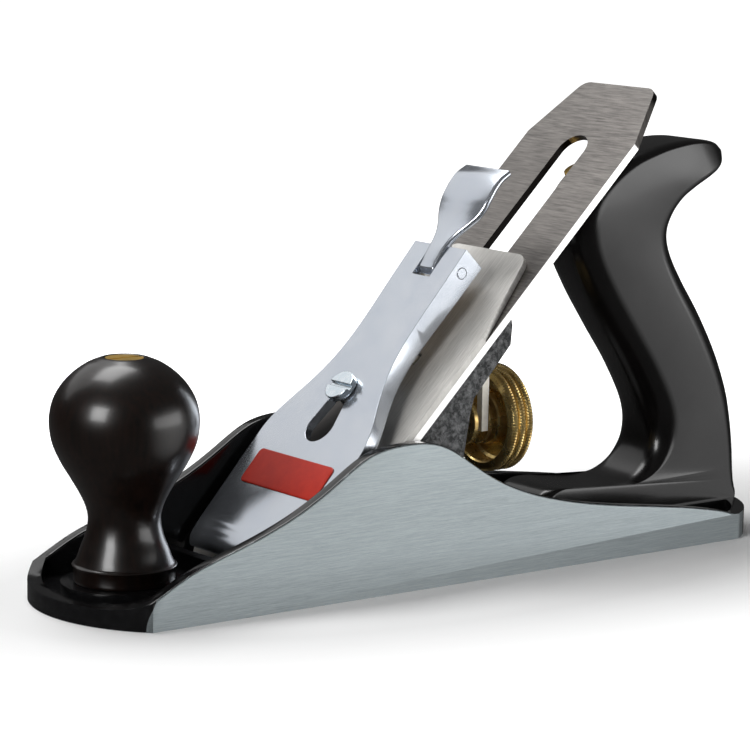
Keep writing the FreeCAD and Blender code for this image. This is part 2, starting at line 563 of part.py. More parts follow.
def make_cam_lever():
    lever = add_body("cam_lever", bed=True)
    root = add_sketch(lever, "XZ_Plane", "-3.7")
    polygon(root, [("$cam_u - 1.5", "17"), ("$cam_u + 4", "17.4"), ("121", "18.2"), ("124", "18.5"),
                   ("124", "16.9"), ("119", "16"), ("$cam_u + 4.4", "13"),
                   ("$cam_u + 3", "10"), ("$cam_u - 2", "9"), ("$cam_u - 3.6", "12.6")])
    pad(lever, root, "7.4")
    disc(lever, "XZ_Plane", "$cam_u", "$cam_n", "5", "-3.7", "3.7")
    thumb = add_sketch(lever, "XZ_Plane", "-11")
    outline(thumb, [(121.0, 16.3), (127.0, 16.9), (134.0, 18.5), (141.0, 19.6), (146.5, 18.4)],
            [(146.5, 20.3), (141.0, 21.6), (134.0, 20.6), (127.0, 18.9), (121.0, 18.1)])
    pad(lever, thumb, "22")
    bore(lever, "XZ_Plane", "$cam_u", "$cam_n", "1.7", "-12", "12")


make_plane_body()
make_knob()
make_tote()
make_frog()
make_frog_hardware()
make_depth_drive()
make_lateral_drive()
make_cutter()
make_lever_cap()
make_cam_lever()

doc.recompute()
for item in doc.Objects:
    if "Invalid" in item.State or "Error" in item.State:
        raise RuntimeError(f"{item.Label} failed: {item.State}")
for node in nodes:
    if node.Shape.isNull() or not node.Shape.isValid() or len(node.Shape.Solids) != 1:
        raise RuntimeError(f"{node.Label} has a bad shape: {len(node.Shape.Solids)} solids")

os.makedirs("parts", exist_ok=True)
for node in nodes:
    node.Shape.exportStep(f"parts/{node.Label}.step")
    print(node.Label, round(node.Shape.Volume, 1))
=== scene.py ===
import json
import math
import bmesh
import bpy
import numpy as np
from mathutils import Matrix, Vector

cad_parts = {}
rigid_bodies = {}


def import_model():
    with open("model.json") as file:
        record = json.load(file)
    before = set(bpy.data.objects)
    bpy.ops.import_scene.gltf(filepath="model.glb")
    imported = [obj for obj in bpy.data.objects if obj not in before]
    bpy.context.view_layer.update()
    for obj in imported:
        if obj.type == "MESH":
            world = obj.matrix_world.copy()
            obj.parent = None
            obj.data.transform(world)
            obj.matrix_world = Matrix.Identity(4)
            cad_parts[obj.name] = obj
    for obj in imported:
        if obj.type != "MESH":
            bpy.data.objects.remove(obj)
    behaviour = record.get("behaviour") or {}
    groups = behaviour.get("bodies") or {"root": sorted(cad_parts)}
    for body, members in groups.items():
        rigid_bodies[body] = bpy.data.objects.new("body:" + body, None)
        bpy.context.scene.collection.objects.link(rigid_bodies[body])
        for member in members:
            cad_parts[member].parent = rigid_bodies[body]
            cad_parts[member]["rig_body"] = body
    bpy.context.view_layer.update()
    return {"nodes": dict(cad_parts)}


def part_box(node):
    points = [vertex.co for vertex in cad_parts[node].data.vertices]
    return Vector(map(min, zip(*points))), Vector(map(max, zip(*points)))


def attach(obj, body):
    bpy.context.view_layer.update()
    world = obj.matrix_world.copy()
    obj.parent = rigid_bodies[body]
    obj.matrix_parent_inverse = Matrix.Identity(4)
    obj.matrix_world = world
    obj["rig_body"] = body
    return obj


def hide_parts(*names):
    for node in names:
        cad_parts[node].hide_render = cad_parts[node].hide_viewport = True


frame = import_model()
nodes = frame["nodes"]
print("stage: frame loaded,", len(nodes), "nodes")

mm = 0.001
root2 = math.sqrt(2.0)


def low(node):
    return np.array(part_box(node)[0]) / mm    # lowest corner, millimetres


def high(node):
    return np.array(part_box(node)[1]) / mm    # highest corner, millimetres


def middle(node):
    return (low(node) + high(node)) / 2


def srgb(text):
    # a hex colour turned to the linear values that the shader wants
    parts = [int(text[i:i + 2], 16) / 255 for i in (1, 3, 5)]
    return [c / 12.92 if c <= 0.04045 else ((c + 0.055) / 1.055) ** 2.4 for c in parts] + [1.0]


def perMm(*grain):
    # the Mapping scale that makes noise grains this many millimetres long on each axis
    return [1 / (length * mm) for length in grain]


def fill(node, inputs):
    # each input takes a plain value, a socket, or another node's first live output
    for key, given in inputs.items():
        if isinstance(given, bpy.types.Node):
            given = next(socket for socket in given.outputs if socket.enabled)
        if isinstance(given, bpy.types.NodeSocket):
            node.id_data.links.new(given, node.inputs[key])
        else:
            node.inputs[key].default_value = given


def addNode(tree, kind, inputs=None, **settings):
    node = tree.nodes.new(kind)
    for key, setting in settings.items():
        setattr(node, key, setting)
    fill(node, inputs or {})
    return node


def startMaterial(name):
    material = bpy.data.materials.new(name)
    material.use_nodes = True
    tree = material.node_tree
    place = addNode(tree, "ShaderNodeTexCoord")
    return material, tree, tree.nodes["Principled BSDF"], place.outputs["Object"]


# black: the japanning, and where its orange peel stands up; outermost: how far off centre a wall is a cheek;
# front and frontBend: the ground face's front edge, curved by height squared
casting = {"black": ("#0b0b0c", "#121213"), "ground": ("#747c7f", "#a3abad"), "stain": "#838b8e",
           "outermost": (28.3, 28.5), "front": (-111.6, -111.4), "frontBend": -33.0,
           "rough": (0.34, 0.46), "gloss": 0.16, "metal": 0.72}


def japannedAndGroundIron():
    # grey iron, japanned gloss black inside, with the cheeks and sole surface-ground:
    # the eye gets wet-looking black walls against cool grey faces with fine lines along the sole
    material, tree, shader, place = startMaterial("japannedAndGroundIron")
    axes = addNode(tree, "ShaderNodeSeparateXYZ", {"Vector": place})
    facing = addNode(tree, "ShaderNodeNewGeometry")
    normal = addNode(tree, "ShaderNodeSeparateXYZ", {"Vector": facing.outputs["True Normal"]})
    side = addNode(tree, "ShaderNodeMath", {0: axes.outputs["Y"]}, operation="ABSOLUTE")
    sideways = addNode(tree, "ShaderNodeMath", {0: normal.outputs["Y"]}, operation="ABSOLUTE")
    outermost = addNode(tree, "ShaderNodeMapRange", {
        "Value": side, "From Min": casting["outermost"][0] * mm, "From Max": casting["outermost"][1] * mm})
    faceOn = addNode(tree, "ShaderNodeMapRange", {"Value": sideways, "From Min": 0.58, "From Max": 0.62})
    onCheek = addNode(tree, "ShaderNodeMath", {0: outermost, 1: faceOn}, operation="MULTIPLY")
    # the grinding stops short of the toe along a curve: x past the front plus the bend times height squared
    squared = addNode(tree, "ShaderNodeMath", {0: axes.outputs["Z"], 1: axes.outputs["Z"]},
                      operation="MULTIPLY")
    bend = addNode(tree, "ShaderNodeMath", {0: squared, 1: casting["frontBend"], 2: axes.outputs["X"]},
                   operation="MULTIPLY_ADD")
    behind = addNode(tree, "ShaderNodeMapRange", {
        "Value": bend, "From Min": casting["front"][0] * mm, "From Max": casting["front"][1] * mm})
    flat = addNode(tree, "ShaderNodeMath", {0: onCheek, 1: behind}, operation="MULTIPLY")
    onSole = addNode(tree, "ShaderNodeMapRange", {
        "Value": axes.outputs["Z"], "From Min": 0.05 * mm, "From Max": 0.1 * mm, "To Min": 1.0,
        "To Max": 0.0})
    ground = addNode(tree, "ShaderNodeMath", {0: flat, 1: onSole}, operation="MAXIMUM")
    # grinding lines, drawn 0.2 mm apart so that they show
    longLines = addNode(tree, "ShaderNodeMapping", {"Vector": place, "Scale": perMm(9.0, 0.3, 0.22)})
    lines = addNode(tree, "ShaderNodeTexNoise", {"Vector": longLines, "Scale": 1.0, "Detail": 5.0,
                                                 "Roughness": 0.65})
    shortLines = addNode(tree, "ShaderNodeMapping", {"Vector": place, "Scale": perMm(2.6, 0.2, 0.12)})
    fine = addNode(tree, "ShaderNodeTexNoise", {"Vector": shortLines, "Scale": 1.0, "Detail": 4.0,
                                                "Roughness": 0.7})
    longPart = addNode(tree, "ShaderNodeMapRange", {"Value": lines, "From Min": 0.3, "From Max": 0.7,
                                                    "To Max": 0.6})
    finePart = addNode(tree, "ShaderNodeMapRange", {"Value": fine, "From Min": 0.3, "From Max": 0.7,
                                                    "To Max": 0.4})
    grain = addNode(tree, "ShaderNodeMath", {0: longPart, 1: finePart}, operation="ADD")
    bands = addNode(tree, "ShaderNodeMapping", {"Vector": place, "Scale": perMm(60.0, 60.0, 26.0)})
    clouds = addNode(tree, "ShaderNodeTexNoise", {"Vector": bands, "Scale": 1.0, "Detail": 2.0,
                                                  "Roughness": 0.6})
    stained = addNode(tree, "ShaderNodeMapRange", {"Value": clouds, "From Min": 0.35, "From Max": 0.7,
                                                   "To Max": 0.25})
    # a Mix node's two colours are its inputs 6 and 7
    steel = addNode(tree, "ShaderNodeMix", {0: grain, 6: srgb(casting["ground"][0]),
                                            7: srgb(casting["ground"][1])}, data_type="RGBA")
    steel = addNode(tree, "ShaderNodeMix", {0: stained, 6: steel, 7: srgb(casting["stain"])},
                    data_type="RGBA")
    peel = addNode(tree, "ShaderNodeMapping", {"Vector": place, "Scale": perMm(2.5, 2.5, 2.5)})
    orange = addNode(tree, "ShaderNodeTexNoise", {"Vector": peel, "Scale": 1.0, "Detail": 2.0,
                                                  "Roughness": 0.6})
    raised = addNode(tree, "ShaderNodeMapRange", {"Value": orange, "From Min": 0.4, "From Max": 0.7})
    black = addNode(tree, "ShaderNodeMix", {0: raised, 6: srgb(casting["black"][0]),
                                            7: srgb(casting["black"][1])}, data_type="RGBA")
    tone = addNode(tree, "ShaderNodeMix", {0: ground, 6: black, 7: steel}, data_type="RGBA")
    metal = addNode(tree, "ShaderNodeMapRange", {"Value": ground, "To Max": casting["metal"]})
    groundRough = addNode(tree, "ShaderNodeMapRange", {
        "Value": grain, "To Min": casting["rough"][0], "To Max": casting["rough"][1]})
    rough = addNode(tree, "ShaderNodeMapRange", {"Value": ground, "To Min": casting["gloss"],
                                                 "To Max": groundRough})
    height = addNode(tree, "ShaderNodeMix", {0: ground, 6: orange, 7: grain}, data_type="RGBA")
    relief = addNode(tree, "ShaderNodeBump", {"Height": height, "Strength": 0.5, "Distance": 0.03 * mm})
    fill(shader, {"Base Color": tone, "Metallic": metal, "Roughness": rough, "Normal": relief})
    return material


def mouldedHandlePlastic():
    # injection-moulded nylon: deep black with a soft wet gloss and a faint orange peel
    material, tree, shader, place = startMaterial("mouldedHandlePlastic")
    wide = addNode(tree, "ShaderNodeMapping", {"Vector": place, "Scale": perMm(18, 18, 18)})
    clouds = addNode(tree, "ShaderNodeTexNoise", {"Vector": wide, "Scale": 1.0, "Detail": 3.0,
                                                  "Roughness": 0.6})
    close = addNode(tree, "ShaderNodeMapping", {"Vector": place, "Scale": perMm(1.1, 1.1, 1.1)})
    peel = addNode(tree, "ShaderNodeTexNoise", {"Vector": close, "Scale": 1.0, "Detail": 2.0,
                                                "Roughness": 0.6})
    tone = addNode(tree, "ShaderNodeMix", {0: clouds, 6: srgb("#070606"), 7: srgb("#0e0c0c")},
                   data_type="RGBA")
    rough = addNode(tree, "ShaderNodeMapRange", {"Value": clouds, "From Min": 0.3, "From Max": 0.7,
                                                 "To Min": 0.2, "To Max": 0.27})
    relief = addNode(tree, "ShaderNodeBump", {"Height": peel, "Strength": 0.25, "Distance": 0.03 * mm})
    fill(shader, {"Base Color": tone, "Roughness": rough, "Normal": relief, "IOR": 1.46,
                  "Coat Weight": 0.1, "Coat Roughness": 0.1})
    return material


def lacqueredKnobBeech():
    # beech stained nearly black and lacquered: a dark brown glow where light falls, under a glassy coat
    material, tree, shader, place = startMaterial("lacqueredKnobBeech")
    upGrain = addNode(tree, "ShaderNodeMapping", {"Vector": place, "Scale": perMm(1.2, 1.2, 22)})
    grain = addNode(tree, "ShaderNodeTexNoise", {"Vector": upGrain, "Scale": 1.0, "Detail": 5.0,
                                                 "Roughness": 0.6})
    upPores = addNode(tree, "ShaderNodeMapping", {"Vector": place, "Scale": perMm(0.5, 0.5, 5)})
    pores = addNode(tree, "ShaderNodeTexNoise", {"Vector": upPores, "Scale": 1.0, "Detail": 3.0,
                                                 "Roughness": 0.6})
    rings = addNode(tree, "ShaderNodeMapRange", {"Value": grain, "From Min": 0.35, "From Max": 0.7})
    tone = addNode(tree, "ShaderNodeMix", {0: rings, 6: srgb("#060302"), 7: srgb("#140905")},
                   data_type="RGBA")
    relief = addNode(tree, "ShaderNodeBump", {"Height": pores, "Strength": 0.15, "Distance": 0.02 * mm})
    fill(shader, {"Base Color": tone, "Roughness": 0.3, "Normal": relief, "IOR": 1.45,
                  "Coat Weight": 0.3, "Coat Roughness": 0.16})
    return material


def turnedBrass(name, tone, tarnishTone, rough):
    # turned and lightly polished brass: warm yellow with fine lathe rings and a little tarnish in the
    # low places
    material, tree, shader, place = startMaterial(name)
    patches = addNode(tree, "ShaderNodeMapping", {"Vector": place, "Scale": perMm(5, 5, 5)})
    tarnish = addNode(tree, "ShaderNodeTexNoise", {"Vector": patches, "Scale": 1.0, "Detail": 4.0,
                                                   "Roughness": 0.6})
    rings = addNode(tree, "ShaderNodeMapping", {"Vector": place, "Scale": perMm(0.25, 4, 4)})
    marks = addNode(tree, "ShaderNodeTexNoise", {"Vector": rings, "Scale": 1.0, "Detail": 3.0,
                                                 "Roughness": 0.6})
    dulled = addNode(tree, "ShaderNodeMapRange", {"Value": tarnish, "From Min": 0.35, "From Max": 0.75,
                                                  "To Max": 0.7})
    colour = addNode(tree, "ShaderNodeMix", {0: dulled, 6: srgb(tone), 7: srgb(tarnishTone)},
                     data_type="RGBA")
    blur = addNode(tree, "ShaderNodeMapRange", {"Value": tarnish, "From Min": 0.3, "From Max": 0.7,
                                                "To Min": rough[0], "To Max": rough[1]})
    relief = addNode(tree, "ShaderNodeBump", {"Height": marks, "Strength": 0.2, "Distance": 0.02 * mm})
    fill(shader, {"Base Color": colour, "Metallic": 0.8, "Roughness": blur, "Normal": relief})
    return material


def chromePlate():
    # nickel-chrome plate over a polished casting: mirror bright, with a slight ripple and hazy
    # polishing swirls
    material, tree, shader, place = startMaterial("chromePlate")
    swirls = addNode(tree, "ShaderNodeMapping", {"Vector": place, "Scale": perMm(12, 12, 12)})
    haze = addNode(tree, "ShaderNodeTexNoise", {"Vector": swirls, "Scale": 1.0, "Detail": 4.0,
                                                "Roughness": 0.6})
    waves = addNode(tree, "ShaderNodeMapping", {"Vector": place, "Scale": perMm(7, 7, 7)})
    ripple = addNode(tree, "ShaderNodeTexNoise", {"Vector": waves, "Scale": 1.0, "Detail": 1.0,
                                                  "Roughness": 0.6})
    tone = addNode(tree, "ShaderNodeMix", {0: haze, 6: srgb("#b9c0cb"), 7: srgb("#d4d8de")},
                   data_type="RGBA")
    blur = addNode(tree, "ShaderNodeMapRange", {"Value": haze, "From Min": 0.3, "From Max": 0.75,
                                                "To Min": 0.17, "To Max": 0.27})
    relief = addNode(tree, "ShaderNodeBump", {"Height": ripple, "Strength": 0.25, "Distance": 0.12 * mm})
    fill(shader, {"Base Color": tone, "Metallic": 0.9, "Roughness": blur, "Normal": relief})
    return material


def zincPlate():
    # bright zinc plate: bluish silver, a little hazier than chrome
    material, tree, shader, place = startMaterial("zincPlate")
    spangle = addNode(tree, "ShaderNodeMapping", {"Vector": place, "Scale": perMm(2.2, 2.2, 2.2)})
    haze = addNode(tree, "ShaderNodeTexNoise", {"Vector": spangle, "Scale": 1.0, "Detail": 4.0,
                                                "Roughness": 0.6})
    tone = addNode(tree, "ShaderNodeMix", {0: haze, 6: srgb("#c0d0dc"), 7: srgb("#f0f4f7")},
                   data_type="RGBA")
    blur = addNode(tree, "ShaderNodeMapRange", {"Value": haze, "From Min": 0.3, "From Max": 0.7,
                                                "To Min": 0.16, "To Max": 0.32})
    relief = addNode(tree, "ShaderNodeBump", {"Height": haze, "Strength": 0.2, "Distance": 0.02 * mm})
    fill(shader, {"Base Color": tone, "Metallic": 1.0, "Roughness": blur, "Normal": relief})
    return material


def brushedSteel(name, tone, light, grain, rough, turn=(0, 0, 0), metal=1.0):
    # ground tool steel: grey with drawn-out grinding lines that blur reflections one way
    material, tree, shader, place = startMaterial(name)
    drawn = addNode(tree, "ShaderNodeMapping", {"Vector": place, "Scale": perMm(*grain), "Rotation": turn})
    lines = addNode(tree, "ShaderNodeTexNoise", {"Vector": drawn, "Scale": 1.0, "Detail": 5.0,
                                                 "Roughness": 0.65})
    wide = addNode(tree, "ShaderNodeMapping", {"Vector": place, "Scale": perMm(22, 22, 22)})
    clouds = addNode(tree, "ShaderNodeTexNoise", {"Vector": wide, "Scale": 1.0, "Detail": 3.0,
                                                  "Roughness": 0.6})
    raised = addNode(tree, "ShaderNodeMapRange", {"Value": lines, "From Min": 0.3, "From Max": 0.7})
    stained = addNode(tree, "ShaderNodeMapRange", {"Value": clouds, "From Min": 0.4, "From Max": 0.75,
                                                   "To Max": 0.35})
    lined = addNode(tree, "ShaderNodeMix", {0: raised, 6: srgb(tone), 7: srgb(light)}, data_type="RGBA")
    colour = addNode(tree, "ShaderNodeMix", {0: stained, 6: lined, 7: srgb(tone)}, data_type="RGBA")
    blur = addNode(tree, "ShaderNodeMapRange", {"Value": lines, "From Min": 0.3, "From Max": 0.7,
                                                "To Min": rough[0], "To Max": rough[1]})
    relief = addNode(tree, "ShaderNodeBump", {"Height": lines, "Strength": 0.4, "Distance": 0.02 * mm})
    fill(shader, {"Base Color": colour, "Metallic": metal, "Roughness": blur, "Normal": relief})
    return material


def sandCastGrey():
    # sand-cast iron under a thin dark wash: charcoal, coarse and mealy, with worn lighter grains
    material, tree, shader, place = startMaterial("sandCastGrey")
    grit = addNode(tree, "ShaderNodeMapping", {"Vector": place, "Scale": perMm(1.8, 1.8, 1.8)})
    coarse = addNode(tree, "ShaderNodeTexNoise", {"Vector": grit, "Scale": 1.0, "Detail": 6.0,
                                                  "Roughness": 0.75})
    dust = addNode(tree, "ShaderNodeMapping", {"Vector": place, "Scale": perMm(0.6, 0.6, 0.6)})
    fine = addNode(tree, "ShaderNodeTexNoise", {"Vector": dust, "Scale": 1.0, "Detail": 3.0,
                                                "Roughness": 0.6})
    worn = addNode(tree, "ShaderNodeMapRange", {"Value": coarse, "From Min": 0.42, "From Max": 0.68})
    tone = addNode(tree, "ShaderNodeMix", {0: worn, 6: srgb("#262728"), 7: srgb("#7a7b7c")},
                   data_type="RGBA")
    blur = addNode(tree, "ShaderNodeMapRange", {"Value": fine, "From Min": 0.3, "From Max": 0.7,
                                                "To Min": 0.38, "To Max": 0.62})
    relief = addNode(tree, "ShaderNodeBump", {"Height": coarse, "Strength": 0.8, "Distance": 0.45 * mm})
    fill(shader, {"Base Color": tone, "Metallic": 0.35, "Roughness": blur, "Normal": relief})
    return material


def vitreousEnamel():
    # red enamel filled into a sunk panel: saturated, softly glossy and slightly uneven
    material, tree, shader, place = startMaterial("vitreousEnamel")
    pools = addNode(tree, "ShaderNodeMapping", {"Vector": place, "Scale": perMm(3, 3, 3)})
    flow = addNode(tree, "ShaderNodeTexNoise", {"Vector": pools, "Scale": 1.0, "Detail": 3.0,
                                                "Roughness": 0.6})
    tone = addNode(tree, "ShaderNodeMix", {0: flow, 6: srgb("#96190d"), 7: srgb("#b62a17")},
                   data_type="RGBA")
    relief = addNode(tree, "ShaderNodeBump", {"Height": flow, "Strength": 0.3, "Distance": 0.05 * mm})
    fill(shader, {"Base Color": tone, "Roughness": 0.45, "Specular IOR Level": 0.22, "Normal": relief})
    return material


# painted shade under the lever cap's keyhole: its centre and fade in millimetres
capHollowShade = {"centre": (-23.1, 8.5, 39.7), "fade": (13, 17), "strength": 0.93, "tone": "#2c2725"}


def shadedUnderCap(material):
    # painted shade: the cap iron is darkened in the hollow under the lever cap's keyhole, where shade falls
    tree = material.node_tree
    shader = tree.nodes["Principled BSDF"]
    unshaded = shader.inputs["Base Color"].links[0].from_socket
    place = addNode(tree, "ShaderNodeTexCoord")
    centred = addNode(tree, "ShaderNodeMapping", {"Vector": place.outputs["Object"],
                                                  "Location": [-part * mm for part in capHollowShade["centre"]]})
    away = addNode(tree, "ShaderNodeVectorMath", {"Vector": centred}, operation="LENGTH")
    faded = addNode(tree, "ShaderNodeMapRange", {
        "Value": away, "From Min": capHollowShade["fade"][0] * mm, "From Max": capHollowShade["fade"][1] * mm,
        "To Min": capHollowShade["strength"], "To Max": 0.0})
    # the dark tone is painted shade, strongest at the centre and fading out
    tone = addNode(tree, "ShaderNodeMix", {0: faded, 6: unshaded, 7: srgb(capHollowShade["tone"])}, data_type="RGBA")
    fill(shader, {"Base Color": tone})
    return material


# edge and slot: how far off centre, in millimetres, the bright edge (partly painted highlight) starts and
# the slot's walls end
cutterEdges = {"bright": "#f6f5f3", "scale": "#161413", "edge": (25.2, 25.3), "slot": (18, 19)}


def groundEdgesPaintedHighlight(material):
    # the cutter's long edges are ground brighter than its face, and their near-white tone is also a painted
    # highlight; its slot walls keep their black scale
    tree = material.node_tree
    shader = tree.nodes["Principled BSDF"]
    face = shader.inputs["Base Color"].links[0].from_socket
    place = addNode(tree, "ShaderNodeTexCoord")
    axes = addNode(tree, "ShaderNodeSeparateXYZ", {"Vector": place.outputs["Object"]})
    side = addNode(tree, "ShaderNodeMath", {0: axes.outputs["Y"]}, operation="ABSOLUTE")
    edge = addNode(tree, "ShaderNodeMapRange", {
        "Value": side, "From Min": cutterEdges["edge"][0] * mm, "From Max": cutterEdges["edge"][1] * mm})
    # near-white on the long edges: ground steel plus a painted highlight
    tone = addNode(tree, "ShaderNodeMix", {0: edge, 6: face, 7: srgb(cutterEdges["bright"])},
                   data_type="RGBA")
    facing = addNode(tree, "ShaderNodeNewGeometry")
    normal = addNode(tree, "ShaderNodeSeparateXYZ", {"Vector": facing.outputs["True Normal"]})
    sideways = addNode(tree, "ShaderNodeMath", {0: normal.outputs["Y"]}, operation="ABSOLUTE")
    faceOn = addNode(tree, "ShaderNodeMapRange", {"Value": sideways, "From Min": 0.7, "From Max": 0.8})
    inner = addNode(tree, "ShaderNodeMapRange", {
        "Value": side, "From Min": cutterEdges["slot"][0] * mm, "From Max": cutterEdges["slot"][1] * mm,
        "To Min": 1.0, "To Max": 0.0})
    wall = addNode(tree, "ShaderNodeMath", {0: faceOn, 1: inner}, operation="MULTIPLY")
    both = addNode(tree, "ShaderNodeMix", {0: wall, 6: tone, 7: srgb(cutterEdges["scale"])},
                   data_type="RGBA")
    fill(shader, {"Base Color": both})
    return material


bedTurn = (0, math.radians(45), 0)    # brings the bed's long direction onto X for the grain
finishes = {
    "casting": japannedAndGroundIron(),
    "handle": mouldedHandlePlastic(),
    "knob": lacqueredKnobBeech(),
    "brass": turnedBrass("turnedBrass", "#d9b765", "#a67c38", (0.3, 0.45)),
    "wheelBrass": turnedBrass("knurledBrass", "#ecd08a", "#a0773a", (0.2, 0.34)),
    "chrome": chromePlate(),
    "zinc": zincPlate(),
    "iron": groundEdgesPaintedHighlight(brushedSteel("groundCutterSteel", "#5d5a58", "#8a8682", (0.35, 9.0, 9.0),
                                     (0.3, 0.42), bedTurn)),
    "capIron": shadedUnderCap(brushedSteel("satinCapSteel", "#b6b4b0", "#dedcd8", (5.0, 0.3, 9.0),
                                           (0.45, 0.55), bedTurn, metal=0.6)),
    "steel": brushedSteel("plainSteel", "#8b8b8c", "#bdbdbe", (2.0, 2.0, 2.0), (0.25, 0.4)),
    # the yoke is plain steel; its pale cream tone is painted highlight standing in for the light on its
    # lower end
    "yoke": brushedSteel("yokeSteelPaintedHighlight", "#d8d3c6", "#f4f0e6", (3.0, 3.0, 3.0), (0.4, 0.6), metal=0.35),
    "spring": brushedSteel("strawSpringSteel", "#b79b72", "#dcc9a8", (4.0, 0.4, 9.0), (0.4, 0.55),
                           metal=0.3),
    "frog": sandCastGrey(),
    "enamel": vitreousEnamel()}
print("stage: finishes made")


def smoothThrough(points, count):
    # Catmull-Rom curve through the points: each span blends four neighbours with the usual cubic weights
    p = np.asarray(points, float)
    p = np.vstack([2 * p[0] - p[1], p, 2 * p[-1] - p[-2]])
    at = np.linspace(0, len(p) - 3 - 1e-9, count)
    i = at.astype(int)
    t = (at - i)[:, None]
    a, b, c, d = p[i], p[i + 1], p[i + 2], p[i + 3]
    square = (2 * a - 5 * b + 4 * c - d) * t ** 2
    cube = (3 * b - a - 3 * c + d) * t ** 3
    return 0.5 * (2 * b + (c - a) * t + square + cube)


def loftRings(name, rings, body, replaced, finish, caps=True, smoothAngle=40):
    # rings[i, j] is the point at place i along and j around; neighbours join as quads and the end
    # rings are closed
    count, around = rings.shape[:2]
    index = np.arange(count * around).reshape(count, around)
    nextOne = np.roll(index, -1, axis=1)
    quads = np.stack([index[:-1], nextOne[:-1], nextOne[1:], index[1:]], axis=-1).reshape(-1, 4).tolist()
    if caps:
        quads.append(index[0, ::-1].tolist())
        quads.append(index[-1].tolist())
    mesh = bpy.data.meshes.new(name)
    mesh.from_pydata((rings.reshape(-1, 3) * mm).tolist(), [], quads)
    return finishPiece(name, mesh, body, replaced, finish, smoothAngle)


softening = {"merge": 0.002, "flat": 0.4, "segments": 2, "sharp": 35, "smooth": 35}    # mm and degrees


def finishPiece(name, mesh, body, replaced, finish, smoothAngle, softEdge=0.0):
    work = bmesh.new()
    work.from_mesh(mesh)
    bmesh.ops.recalc_face_normals(work, faces=work.faces)
    work.to_mesh(mesh)
    work.free()
    piece = bpy.data.objects.new(name, mesh)
    bpy.context.scene.collection.objects.link(piece)
    piece.data.materials.append(finishes[finish])
    bpy.context.view_layer.objects.active = piece
    for other in bpy.context.selected_objects:
        other.select_set(False)
    piece.select_set(True)
    if softEdge:
        edge = piece.modifiers.new("softEdge", "BEVEL")
        edge.width = softEdge * mm
        edge.segments = softening["segments"]
        edge.limit_method = "ANGLE"
        edge.angle_limit = math.radians(softening["sharp"])
        edge.harden_normals = True
    bpy.ops.object.shade_smooth_by_angle(angle=math.radians(smoothAngle))
    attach(piece, body)
    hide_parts(*replaced)
    return piece


def softenedCopy(node, finish, softEdge):
    # the CAD solid's own faces, merged and flattened, with a small round on every sharp edge
    work = bmesh.new()
    work.from_mesh(nodes[node].data)
    bmesh.ops.remove_doubles(work, verts=work.verts, dist=softening["merge"] * mm)
    bmesh.ops.dissolve_limit(work, angle_limit=math.radians(softening["flat"]), verts=work.verts,
                             edges=work.edges)
    mesh = bpy.data.meshes.new(node + "Finished")
    work.to_mesh(mesh)
    work.free()
    body = nodes[node]["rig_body"]
    return finishPiece(node + "Finished", mesh, body, [node], finish, softening["smooth"], softEdge)


def turnedRings(profile, turns, toWorld, ripple=None):
    # each profile point (radius, height) is carried round the axis; ripple is added to the radius by
    # place and angle
    angle = np.linspace(0, 2 * np.pi, turns, endpoint=False)
    radius = profile[:, :1] * np.ones((1, turns))
    if ripple is not None:
        radius = radius + ripple(angle)
    height = profile[:, 1:] * np.ones((1, turns))
    return toWorld(radius * np.cos(angle), radius * np.sin(angle), height)


def upright(x, y):
    return lambda a, b, h: np.stack([x + a, y + b, h], axis=-1)


def alongX(y, z):
    return lambda a, b, h: np.stack([h, y + a, z + b], axis=-1)


bed = {"lift": 0.15}    # how far the cutting edge stands off the bed frame's origin
bedX = low("cutter_iron")[0] - bed["lift"] / root2


def onBed(along, across, out):
    # bed frame to world: along the 45 degree bed, across the sole, and out of the cutter's face
    return np.stack([bedX + (along - out) / root2, across, (along + out) / root2], axis=-1)


def roundedSection(half, thick, radius, around):
    # rounded rectangle: corner centres set in by the radius, plus the radius turned through one circle
    angle = np.linspace(0, 2 * np.pi, around, endpoint=False) + np.pi / around
    radius = np.minimum(radius, np.minimum(half, thick) * 0.995)
    a = np.sign(np.cos(angle)) * (half - radius) + radius * np.cos(angle)
    b = np.sign(np.sin(angle)) * (thick - radius) + radius * np.sin(angle)
    return a, b


# radius and height; the flange is measured up from the knob's foot and the hole ends there
knob = {"turns": 128, "domePlaces": 90,
        "flange": [(13.0, 0.0), (14.0, 0.1), (14.35, 0.5), (14.4, 1.2), (14.5, 4.2), (14.75, 4.6),
                   (14.85, 4.9), (14.7, 5.15), (14.4, 5.3)],
        "outline": [(14.1, 12.5), (13.4, 14.0), (12.4, 16.8), (11.0, 20.5), (10.25, 24.8), (10.9, 28.5),
                    (12.6, 32.3), (15.2, 36.8), (18.0, 41.5), (20.3, 46.8), (21.1, 52.8), (20.2, 58.2),
                    (17.9, 62.6), (14.6, 66.2), (10.8, 68.9), (7.6, 70.3), (6.3, 70.75)],
        "well": [(5.9, 70.75), (5.6, 70.5), (5.55, 69.8), (5.55, 66.6), (4.4, 66.5), (4.35, 60.5),
                 (3.2, 60.3)],
        "hole": [(3.15, 0.5), (3.15, 0.0)]}


def makeKnob():
    # a turning: flange, smooth pear outline, the nut's well and the bolt's hole, carried once round the axis
    foot = np.array([0.0, low("front_knob")[2]])
    dome = smoothThrough(knob["outline"], knob["domePlaces"])
    profile = np.vstack([np.array(knob["flange"]) + foot, dome, knob["well"], np.array(knob["hole"]) + foot])
    x, y = middle("front_knob")[:2]
    rings = turnedRings(profile, knob["turns"], upright(x, y))
    closed = np.concatenate([rings, rings[:1]])    # the bore joins the underside, so the skin is closed
    loftRings("knobTurning", closed[:, ::-1], "casting", ["front_knob"], "knob", caps=False)


